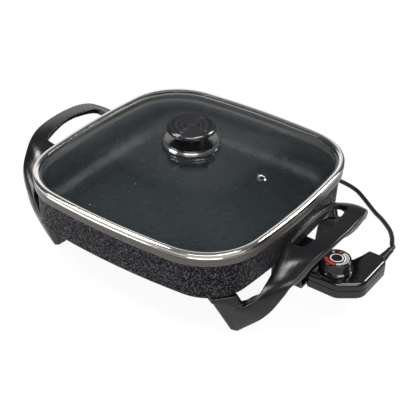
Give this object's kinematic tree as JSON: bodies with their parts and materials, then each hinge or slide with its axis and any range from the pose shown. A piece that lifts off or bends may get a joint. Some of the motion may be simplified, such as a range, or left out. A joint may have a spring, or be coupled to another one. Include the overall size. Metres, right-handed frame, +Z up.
{
  "type": "electric skillet",
  "caption": "Electric skillet: rounded-square non-stick pan, lift-off domed glass lid with a black knob, moulded handle-and-leg pieces, plug-in heat control with a dial and a mains cord.",
  "frame": {"origin": "on the table, under the middle of the box round the pan, handles, lid and heat control, without the cord", "axes": "+X from the pan towards the heat control and the right handle, +Y to the back, +Z up"},
  "size_m": [0.4474, 0.3946, 0.1693],
  "materials": {
    "nonstick_coating": "dark textured non-stick coating on cast aluminium",
    "sheath_steel": "heat-darkened element sheath",
    "contact_brass": "plated",
    "ceramic": "unglazed ceramic",
    "bright_steel": "plain bright",
    "moulded_black": "moulded thermoset, satin to gloss",
    "tinted_glass": "clear, slightly green, tempered",
    "polished_band": "polished stainless",
    "sealant": "matt",
    "case_black": "gloss",
    "dial_print": "printed face",
    "resin": "moulded resin",
    "spring_copper": "rolled",
    "neon_glass": "clear bulb",
    "lens": "frosted",
    "flex_rubber": "matt sheath"
  },
  "bodies": {
    "pan": {"pan_body": "nonstick_coating", "heating_element": "sheath_steel", "terminal_pins": "contact_brass", "terminal_bushings": "ceramic", "sensor_guide": "bright_steel", "socket_guard": "moulded_black", "guard_screws": "bright_steel", "handle_left": "moulded_black", "handle_right": "moulded_black", "handle_screws": "bright_steel"},
    "lid": {"lid_glass": "tinted_glass", "lid_band": "polished_band", "lid_seal": "sealant", "vent_grommet": "polished_band", "knob_gasket": "sealant", "knob_ring": "polished_band", "knob_base": "moulded_black", "knob_grip": "moulded_black", "knob_washer": "bright_steel", "knob_screw": "bright_steel"},
    "control": {"control_base": "case_black", "control_cover": "case_black", "control_screws": "bright_steel", "contact_block": "resin", "contact_sleeves": "contact_brass", "sensor_rod": "bright_steel", "thermostat_frame": "bright_steel", "insulator_stack": "ceramic", "contact_leaves": "spring_copper", "bimetal_strip": "spring_copper", "neon_lamp": "neon_glass", "lamp_lens": "lens", "lead_wires": "flex_rubber", "shaft_bush": "contact_brass", "strain_relief": "flex_rubber", "cord_lead": "flex_rubber", "cord_coil": "flex_rubber", "cord_tie": "flex_rubber", "plug_body": "flex_rubber", "plug_blades": "contact_brass"},
    "dial": {"dial_knob": "case_black", "dial_plate": "dial_print", "dial_shaft": "bright_steel", "shaft_clip": "bright_steel"}
  },
  "joints": [
    {"name": "lid_lift", "type": "slide", "parent": "pan", "child": "lid", "axis": [0, 0, 1], "range_m": [0, 0.12]},
    {"name": "control_unplug", "type": "slide", "parent": "pan", "child": "control", "axis": [1, 0, 0], "range_m": [0, 0.09]},
    {"name": "dial_turn", "type": "hinge", "parent": "control", "child": "dial", "pos_m": [0.1845, 0, 0.0635], "axis": [0, 0, 1], "range_deg": [-300, 0]}
  ]
}
